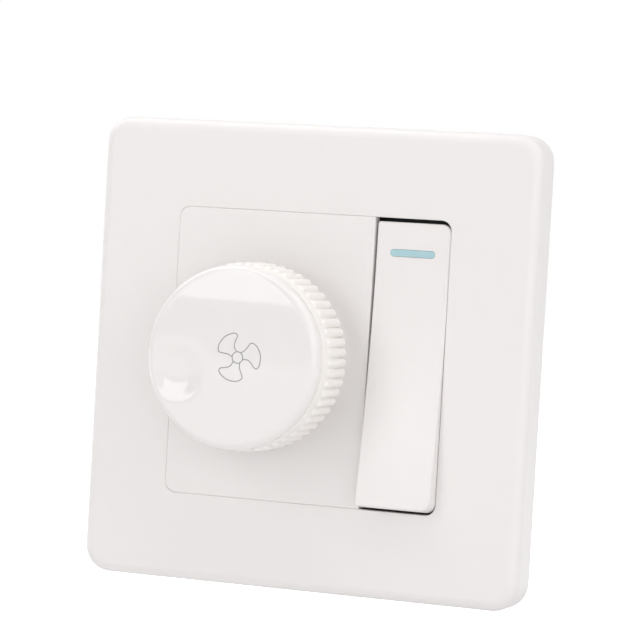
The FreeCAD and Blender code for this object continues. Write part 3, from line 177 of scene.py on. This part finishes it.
# Materials: noise in features per metre, and the height of the grain in metres
NOISE_DETAIL = 4.0
PLASTIC_NOISE = 260.0
PLASTIC_IOR = 1.46
SHADE_DROP = 0.008
SHADE_ENDS = (0.3, 0.7)
GRAIN_FINENESS = 30.0
GRAIN_HEIGHT = 0.00002

# Each finish has a linear colour and a range of roughness; drop is how much darker its darker shade is
FINISHES = {
    "white_plastic": dict(colour=(0.845, 0.817, 0.808), rough=(0.36, 0.4), grain=0.25),
    # Ribs: their own ivory tint, made lighter than the plate as painted light that offsets the shade
    # falling among the ribs
    "rib_plastic": dict(colour=(0.91, 0.878, 0.852), rough=(0.3, 0.36), grain=0.2),
    "cap_plastic": dict(colour=(0.845, 0.815, 0.805), rough=(0.025, 0.035), ior=1.52),
    "ink": dict(colour=(0.32, 0.32, 0.33), rough=(0.4, 0.5), drop=0.15, scale=900.0),
    "indicator": dict(colour=(0.352, 0.565, 0.62), rough=(0.15, 0.2), drop=0.05, scale=500.0),
    "dark_plastic": dict(colour=(0.045, 0.045, 0.05), rough=(0.45, 0.6), drop=0.2, grain=0.6),
    "black_plastic": dict(colour=(0.02, 0.02, 0.022), rough=(0.4, 0.55), drop=0.25, grain=0.5),
    "board": dict(colour=(0.42, 0.3, 0.13), rough=(0.45, 0.6), drop=0.15, scale=900.0, grain=0.4),
    "component": dict(colour=(0.5, 0.17, 0.07), rough=(0.2, 0.3), drop=0.1, scale=500.0),
    "steel": dict(colour=(0.58, 0.58, 0.6), rough=(0.22, 0.34), drop=0.12, scale=800.0, metal=1.0),
    "brass": dict(colour=(0.72, 0.53, 0.22), rough=(0.2, 0.32), drop=0.12, scale=700.0, metal=1.0),
    "contact": dict(colour=(0.82, 0.82, 0.8), rough=(0.15, 0.25), drop=0.08, scale=900.0, metal=1.0),
    "aluminium": dict(colour=(0.7, 0.71, 0.72), rough=(0.28, 0.4), drop=0.1, scale=700.0, metal=1.0),
    "ferrite": dict(colour=(0.07, 0.068, 0.066), rough=(0.5, 0.65), drop=0.2, scale=900.0, grain=0.8),
    "copper": dict(colour=(0.52, 0.2, 0.09), rough=(0.25, 0.35), drop=0.15, scale=600.0, metal=1.0),
}


def clear_stage():
    """Removes any camera and lamps that the scene starts with."""
    for item in list(bpy.data.objects):
        if item.type in {"CAMERA", "LIGHT"}:
            bpy.data.objects.remove(item)


def put(name, data):
    """A new object in the scene."""
    item = bpy.data.objects.new(name, data)
    bpy.context.scene.collection.objects.link(item)
    return item


def new_material(name):
    """A material with its nodes and links, ready for more of them."""
    material = bpy.data.materials.new(name)
    material.use_nodes = True
    return material, material.node_tree.nodes, material.node_tree.links


def noise(nodes, links, scale):
    """A noise texture in object space."""
    space = nodes.new("ShaderNodeTexCoord")
    texture = nodes.new("ShaderNodeTexNoise")
    texture.inputs["Scale"].default_value = scale
    texture.inputs["Detail"].default_value = NOISE_DETAIL
    links.new(space.outputs["Object"], texture.inputs["Vector"])
    return texture.outputs["Fac"]


def blend_shades(nodes, links, source, darker, lighter, ends=(0.0, 1.0)):
    """A colour between two shades that follows a value."""
    ramp = nodes.new("ShaderNodeValToRGB")
    for stop, colour, end in zip(ramp.color_ramp.elements, (darker, lighter), ends):
        stop.position = end
        stop.color = (*colour, 1.0)
    links.new(source, ramp.inputs["Fac"])
    return ramp.outputs["Color"]


def map_range(nodes, links, source, least, most):
    """A value that is spread between two limits."""
    spread = nodes.new("ShaderNodeMapRange")
    spread.inputs["To Min"].default_value = least
    spread.inputs["To Max"].default_value = most
    links.new(source, spread.inputs["Value"])
    return spread


def add_grain(nodes, links, shader, scale, strength):
    """A fine moulded or cast grain in the surface."""
    bump = nodes.new("ShaderNodeBump")
    bump.inputs["Strength"].default_value = strength
    bump.inputs["Distance"].default_value = GRAIN_HEIGHT
    links.new(noise(nodes, links, scale * GRAIN_FINENESS), bump.inputs["Height"])
    links.new(bump.outputs["Normal"], shader.inputs["Normal"])


def surface(name, colour, rough, drop=SHADE_DROP, scale=PLASTIC_NOISE, metal=0.0, grain=0.0,
            ior=PLASTIC_IOR):
    """A procedural material: two near shades, uneven gloss and, where it has one, a fine grain."""
    material, nodes, links = new_material(name)
    shader = nodes["Principled BSDF"]
    shader.inputs["Metallic"].default_value = metal
    shader.inputs["IOR"].default_value = ior
    broad = noise(nodes, links, scale)
    darker = tuple(value * (1.0 - drop) for value in colour)
    shades = blend_shades(nodes, links, broad, darker, colour, SHADE_ENDS)
    links.new(shades, shader.inputs["Base Color"])
    gloss = map_range(nodes, links, broad, *rough)
    links.new(gloss.outputs["Result"], shader.inputs["Roughness"])
    if grain:
        add_grain(nodes, links, shader, scale, grain)
    return material


MATERIALS = {name: surface(name, **finish) for name, finish in FINISHES.items()}


def dress_nodes():
    """Gives every CAD node the material of its slot."""
    for part in frame["record"]["subparts"]:
        mesh = frame["nodes"][part["node"]].data
        mesh.materials.clear()
        mesh.materials.append(MATERIALS[part["material_slot"]])


def weld(mesh):
    """Joins points that fall on one another, so that no face is left without an area."""
    shape = bmesh.new()
    shape.from_mesh(mesh)
    bmesh.ops.remove_doubles(shape, verts=shape.verts, dist=WELD * MM)
    shape.to_mesh(mesh)
    shape.free()


def add_piece(name, points, faces, material, body):
    """Makes a piece from points in millimetres and lets it ride on a body."""
    mesh = bpy.data.meshes.new(name)
    mesh.from_pydata([tuple(value * MM for value in point) for point in points], [], faces)
    weld(mesh)
    mesh.materials.append(MATERIALS[material])
    mesh.shade_smooth()
    mesh.set_sharp_from_angle(angle=math.radians(CREASE))
    piece = put(name, mesh)
    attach(piece, body)
    return piece


def on_axis(forward, radius, angle):
    """A point at a radius around the knob's axis."""
    return (KNOB_X + radius * math.cos(angle), -forward, radius * math.sin(angle))


def turned(rings, angles):
    """Skins rings of (forward, radius), numbers or rules, around the knob's axis between two poles."""
    count = len(angles)
    points = [on_axis(rings[0][0], 0.0, 0.0)]
    for forward, radius in rings[1:-1]:
        for angle in angles:
            reach = radius(angle) if callable(radius) else radius
            depth = forward(reach, angle) if callable(forward) else forward
            points.append(on_axis(depth, reach, angle))
    points.append(on_axis(rings[-1][0], 0.0, 0.0))
    last = len(points) - 1
    tail = last - count
    faces = []
    for step in range(count):
        after = (step + 1) % count
        faces.append((0, 1 + step, 1 + after))
        for near in range(1, tail, count):
            far = near + count
            faces.append((near + step, far + step, far + after, near + after))
        faces.append((tail + step, last, tail + after))
    return points, faces


def arc(forward, radius, bend, start, end, steps=ARC_STEPS):
    """Rings along a round edge, with angles in degrees from outward towards the front."""
    stations = []
    for step in range(steps + 1):
        angle = math.radians(start + (end - start) * step / steps)
        stations.append((forward + bend * math.sin(angle), radius + bend * math.cos(angle)))
    return stations


def rib_angles():
    """Angles around the knob, closer at the foot of each rib."""
    half_pitch = math.pi / RIB_COUNT
    local = [half_pitch * math.sin(math.radians(turn)) for turn in range(-90, 90, RIB_TURN_STEP)]
    return [2 * half_pitch * rib + angle for rib in range(RIB_COUNT) for angle in local]


def rib_radius(thick, depth):
    """The outline of the ribbed skirt where a rib has a round section and its grooves a depth."""
    floor = KNOB_RADIUS - depth

    def radius(angle):
        pitch = math.tau / RIB_COUNT
        turn = (angle + pitch / 2) % pitch - pitch / 2
        aside = RIB_CENTRE * math.sin(turn)
        inside = thick ** 2 - aside ** 2
        if inside <= 0:
            return floor
        return max(floor, RIB_CENTRE * math.cos(turn) + math.sqrt(inside))
    return radius


def groove(distance):
    """Depth of the grooves at a distance behind the front ends of the ribs."""
    share = min(max(distance / GROOVE_RUN, 0.0), 1.0)
    return GROOVE_DEPTH * math.sin(QUARTER_TURN * share)


def rib_rings():
    """Rings along the ribs: their rounded front ends, their run and the small round edge at the back."""
    end = math.sqrt(RIB_RADIUS ** 2 - (KNOB_RADIUS - RIB_CENTRE) ** 2)
    ball = RIB_FRONT - end
    tail = KNOB_BACK + TAIL_ROUND
    run = ball - tail
    rings = [(RIB_FRONT, KNOB_RADIUS)]
    for step in range(RIB_STEPS):
        ahead = end * math.cos(QUARTER_TURN * step / RIB_STEPS)
        thick = math.sqrt(RIB_RADIUS ** 2 - ahead ** 2)
        rings.append((ball + ahead, rib_radius(thick, groove(end - ahead))))
    for step in range(GROOVE_STEPS):
        behind = run * step / GROOVE_STEPS
        rings.append((ball - behind, rib_radius(RIB_RADIUS, groove(end + behind))))
    for step in range(TAIL_STEPS + 1):
        turn = QUARTER_TURN * step / TAIL_STEPS
        thick = RIB_RADIUS - TAIL_ROUND * (1.0 - math.cos(turn))
        rings.append((tail - TAIL_ROUND * math.sin(turn), rib_radius(thick, groove(end + run))))
    return rings


def dee(angle):
    """The outline of the D-shaped bore, flat on the +X side."""
    across = math.cos(angle)
    if across * BORE_RADIUS <= BORE_FLAT:
        return BORE_RADIUS
    return BORE_FLAT / across


def make_knob_body():
    """The ribbed skirt, its web and its bored hub."""
    rings = [(WEB_FRONT, 0.0), (WEB_FRONT, HUB_RADIUS), (WEB_FRONT, KNOB_INSIDE)]
    rings += [(KNOB_FRONT, KNOB_INSIDE), (KNOB_FRONT, NECK_RADIUS), (SHOULDER, NECK_RADIUS)]
    rings += arc(SHOULDER - SHOULDER_ROUND, KNOB_RADIUS - SHOULDER_ROUND, SHOULDER_ROUND, 90, 0)
    rings += rib_rings()
    rings += [(KNOB_BACK, KNOB_INSIDE), (WEB_BACK, KNOB_INSIDE), (WEB_BACK, HUB_RADIUS)]
    rings += [(HUB_BACK, HUB_RADIUS), (HUB_BACK, BORE_RADIUS), (BORE_DEE, BORE_RADIUS)]
    rings += [(BORE_DEE, dee), (BORE_END, dee), (BORE_END, 0.0)]
    points, faces = turned(rings, rib_angles())
    piece = add_piece("knob_skirt", points, faces, "rib_plastic", "knob")
    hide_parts("knob_body")


def crown(radius):
    """Height of the cap's domed face at a distance from the knob's axis."""
    return CAP_TOP - CAP_CROWN_RADIUS + math.sqrt(CAP_CROWN_RADIUS ** 2 - radius ** 2)


def dimple(radius, angle):
    """How far the finger dimple sinks the cap, flat in the middle and steepest at its soft rim."""
    turn = math.radians(DIMPLE_ANGLE)
    across = radius * math.cos(angle) - DIMPLE_OFFSET * math.cos(turn)
    along = radius * math.sin(angle) - DIMPLE_OFFSET * math.sin(turn)
    inside = 1.0 - (math.hypot(across, along) / DIMPLE_RADIUS) ** DIMPLE_POWER
    return DIMPLE_DEPTH * 0.5 * (inside + math.hypot(inside, DIMPLE_RIM))


def sunk(forward):
    """A ring's height rule: its own height less the finger dimple."""
    return lambda radius, angle: forward - dimple(radius, angle)


def make_knob_cap():
    """The glossy domed cap, its round edge and the plug that sits in the knob."""
    flat = CAP_RADIUS - CAP_EDGE
    reaches = [flat * step / CAP_STEPS for step in range(1, CAP_STEPS + 1)]
    face = [(crown(reach), reach) for reach in reaches]
    face += arc(crown(flat) - CAP_EDGE, flat, CAP_EDGE, CAP_EDGE_START, 0, CAP_EDGE_STEPS)
    rings = [(crown(0.0), 0.0)]
    rings += [(sunk(forward), radius) for forward, radius in face]
    rings += arc(CAP_BACK + CAP_BACK_ROUND, CAP_RADIUS - CAP_BACK_ROUND, CAP_BACK_ROUND, 0, -90)
    rings += [(CAP_BACK, PLUG_RADIUS), (WEB_FRONT, PLUG_RADIUS), (WEB_FRONT, 0.0)]
    angles = [math.tau * step / CAP_SIDES for step in range(CAP_SIDES)]
    points, faces = turned(rings, angles)
    piece = add_piece("knob_cap_dished", points, faces, "cap_plastic", "knob")
    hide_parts("knob_cap")


def smooth_path(corners):
    """A smooth curve through a few corners."""
    path = []
    for index in range(len(corners) - 1):
        before = corners[max(index - 1, 0)]
        start = corners[index]
        end = corners[index + 1]
        after = corners[min(index + 2, len(corners) - 1)]
        for step in range(CURVE_STEPS):
            t = step / CURVE_STEPS
            path.append(tuple(
                0.5 * (2 * b + (c - a) * t + (2 * a - 5 * b + 4 * c - d) * t * t
                       + (3 * b - a - 3 * c + d) * t ** 3)
                for a, b, c, d in zip(before, start, end, after)
            ))
    path.append(corners[-1])
    return path


def ink_line(path, closed):
    """A thin line of ink laid on the cap along a flat path around the symbol's centre."""
    section = ((1, -SYMBOL_ROOT), (1, SYMBOL_INK), (-1, SYMBOL_INK), (-1, -SYMBOL_ROOT))
    sides = len(section)
    count = len(path)
    half = SYMBOL_LINE / 2
    points = []
    for index, here in enumerate(path):
        before = path[index - 1] if closed or index else here
        after = path[(index + 1) % count] if closed or index < count - 1 else here
        run = math.hypot(after[0] - before[0], after[1] - before[1])
        aside = ((before[1] - after[1]) / run * half, (after[0] - before[0]) / run * half)
        for side, rise in section:
            x = SYMBOL_X + here[0] + side * aside[0]
            z = SYMBOL_Z + here[1] + side * aside[1]
            points.append((KNOB_X + x, -crown(math.hypot(x, z)) - rise, z))
    faces = []
    for index in range(count if closed else count - 1):
        near = sides * index
        far = sides * ((index + 1) % count)
        for side in range(sides):
            after = (side + 1) % sides
            faces.append((near + side, near + after, far + after, far + side))
    if not closed:
        faces.append(tuple(reversed(range(sides))))
        faces.append(tuple(sides * (count - 1) + side for side in range(sides)))
    return points, faces


def around(reach, angle):
    """A flat point at a distance from the symbol's centre."""
    return (reach * math.cos(angle), reach * math.sin(angle))


def make_symbol():
    """Three fan blades around a hub ring, printed on the cap."""
    hub = [around(SYMBOL_HUB, math.tau * step / RING_SIDES) for step in range(RING_SIDES)]
    lines = [ink_line(hub, True)]
    for blade in BLADE_TURNS:
        corners = [around(reach, math.radians(blade + turn)) for turn, reach in BLADE]
        lines.append(ink_line(smooth_path(corners), False))
    points = []
    faces = []
    for line_points, line_faces in lines:
        first = len(points)
        points += line_points
        faces += [tuple(first + corner for corner in face) for face in line_faces]
    piece = add_piece("fan_symbol", points, faces, "ink", "knob")


def push_edges(mesh, edges):
    """Moves the outer faces of a mesh a little, fading out over a zone inside them."""
    for axis, side, amount in edges:
        outermost = max(side * corner.co[axis] for corner in mesh.vertices)
        for corner in mesh.vertices:
            share = 1.0 - (outermost - side * corner.co[axis]) / (EDGE_ZONE * MM)
            corner.co[axis] += side * amount * MM * max(share, 0.0)


def make_fitted(name, node, edges, body):
    """A white moulding with the photograph's gaps at its edges, in the place of a node."""
    mesh = frame["nodes"][node].data.copy()
    push_edges(mesh, edges)
    piece = put(name, mesh)
    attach(piece, body)
    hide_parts(node)


def make_spring():
    """The spring behind the plunger, which in the real switch shortens as the plunger slides in; here a
    copy of its node with a mesh of its own, riding on the rocker.
    """
    piece = put("plunger_coil", frame["nodes"]["plunger_spring"].data.copy())
    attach(piece, "rocker")
    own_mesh(piece)
    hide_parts("plunger_spring")


def direction(azimuth, elevation):
    """The direction from the object to a camera or a lamp, with azimuth 0 straight in front."""
    turn = math.radians(azimuth)
    rise = math.radians(elevation)
    return Vector((math.sin(turn) * math.cos(rise), -math.cos(turn) * math.cos(rise), math.sin(rise)))


def make_camera():
    """The camera at the photograph's viewing angle."""
    turn = math.radians(CAMERA_AZIMUTH)
    roll = math.radians(CAMERA_ROLL)
    look = -direction(CAMERA_AZIMUTH, CAMERA_ELEVATION)
    level = Vector((math.cos(turn), math.sin(turn), 0.0))
    upright = level.cross(look)
    right = level * math.cos(roll) + upright * math.sin(roll)
    up = right.cross(look)
    data = bpy.data.cameras.new("camera")
    data.sensor_width = CAMERA_SENSOR
    data.lens = CAMERA_LENS
    data.clip_start = CAMERA_CLIP_START
    data.clip_end = CAMERA_CLIP_END
    camera = put("camera", data)
    place = Vector(CAMERA_AIM) * MM - look * CAMERA_DISTANCE * MM
    axes = Matrix((right, up, -look)).transposed().to_4x4()
    camera.matrix_world = Matrix.Translation(place) @ axes
    bpy.context.scene.camera = camera


def add_softbox(name, azimuth, elevation, distance, size, power):
    """A large soft lamp that faces the object."""
    data = bpy.data.lights.new(name, "AREA")
    data.shape = "RECTANGLE"
    data.size = size[0]
    data.size_y = size[1]
    data.energy = power
    lamp = put(name, data)
    way = direction(azimuth, elevation)
    lamp.location = way * distance
    lamp.rotation_euler = way.to_track_quat("Z", "Y").to_euler()


def shown_rays(nodes, links):
    """1 for a ray from the camera, a glossy surface or glass, and 0 for soft light."""
    path = nodes.new("ShaderNodeLightPath")
    total = path.outputs["Is Camera Ray"]
    for ray in ("Is Glossy Ray", "Is Transmission Ray"):
        either = nodes.new("ShaderNodeMath")
        either.operation = "MAXIMUM"
        links.new(total, either.inputs[0])
        links.new(path.outputs[ray], either.inputs[1])
        total = either.outputs["Value"]
    return total


def make_world():
    """White for the camera and in reflections, softer for the light it gives."""
    world = bpy.data.worlds.new("studio")
    world.use_nodes = True
    bpy.context.scene.world = world
    nodes = world.node_tree.nodes
    links = world.node_tree.links
    background = nodes["Background"]
    background.inputs["Color"].default_value = WHITE
    strength = map_range(nodes, links, shown_rays(nodes, links), WORLD_LIGHT, WORLD_SHOWN)
    links.new(strength.outputs["Result"], background.inputs["Strength"])


def floor_material():
    """Matt and pale, with a white glow in view that grows away from the object."""
    material, nodes, links = new_material("floor")
    shader = nodes["Principled BSDF"]
    shader.inputs["Roughness"].default_value = FLOOR_ROUGH
    shader.inputs["Specular IOR Level"].default_value = 0.0
    shader.inputs["Emission Color"].default_value = WHITE
    texture = noise(nodes, links, FLOOR_NOISE)
    colour = blend_shades(nodes, links, texture, FLOOR_DARKER, FLOOR_LIGHTER)
    links.new(colour, shader.inputs["Base Color"])
    space = nodes.new("ShaderNodeTexCoord")
    distance = nodes.new("ShaderNodeVectorMath")
    distance.operation = "LENGTH"
    links.new(space.outputs["Object"], distance.inputs[0])
    glow = map_range(nodes, links, distance.outputs["Value"], GLOW_LEAST, GLOW_MOST)
    glow.interpolation_type = "SMOOTHSTEP"
    glow.inputs["From Min"].default_value = GLOW_NEAR
    glow.inputs["From Max"].default_value = GLOW_FAR
    seen = nodes.new("ShaderNodeMath")
    seen.operation = "MULTIPLY"
    links.new(glow.outputs["Result"], seen.inputs[0])
    links.new(shown_rays(nodes, links), seen.inputs[1])
    links.new(seen.outputs["Value"], shader.inputs["Emission Strength"])
    return material


def make_floor():
    """A plain pale floor below the plate that takes its faint shadow."""
    corners = [
        (across * FLOOR_HALF, along * FLOOR_HALF, FLOOR_HEIGHT)
        for across, along in ((-1, -1), (1, -1), (1, 1), (-1, 1))
    ]
    mesh = bpy.data.meshes.new("floor")
    mesh.from_pydata(corners, [], [(0, 1, 2, 3)])
    mesh.materials.append(floor_material())
    floor = put("floor", mesh)


clear_stage()
dress_nodes()
make_knob_body()
make_knob_cap()
make_symbol()
make_fitted("insert_fitted", "insert_panel", INSERT_EDGES, "base")
make_fitted("rocker_fitted", "rocker_button", ROCKER_EDGES, "rocker")
make_spring()
make_camera()
make_world()
make_floor()
for softbox in SOFTBOXES:
    add_softbox(*softbox)
bpy.context.scene.view_settings.view_transform = "Standard"
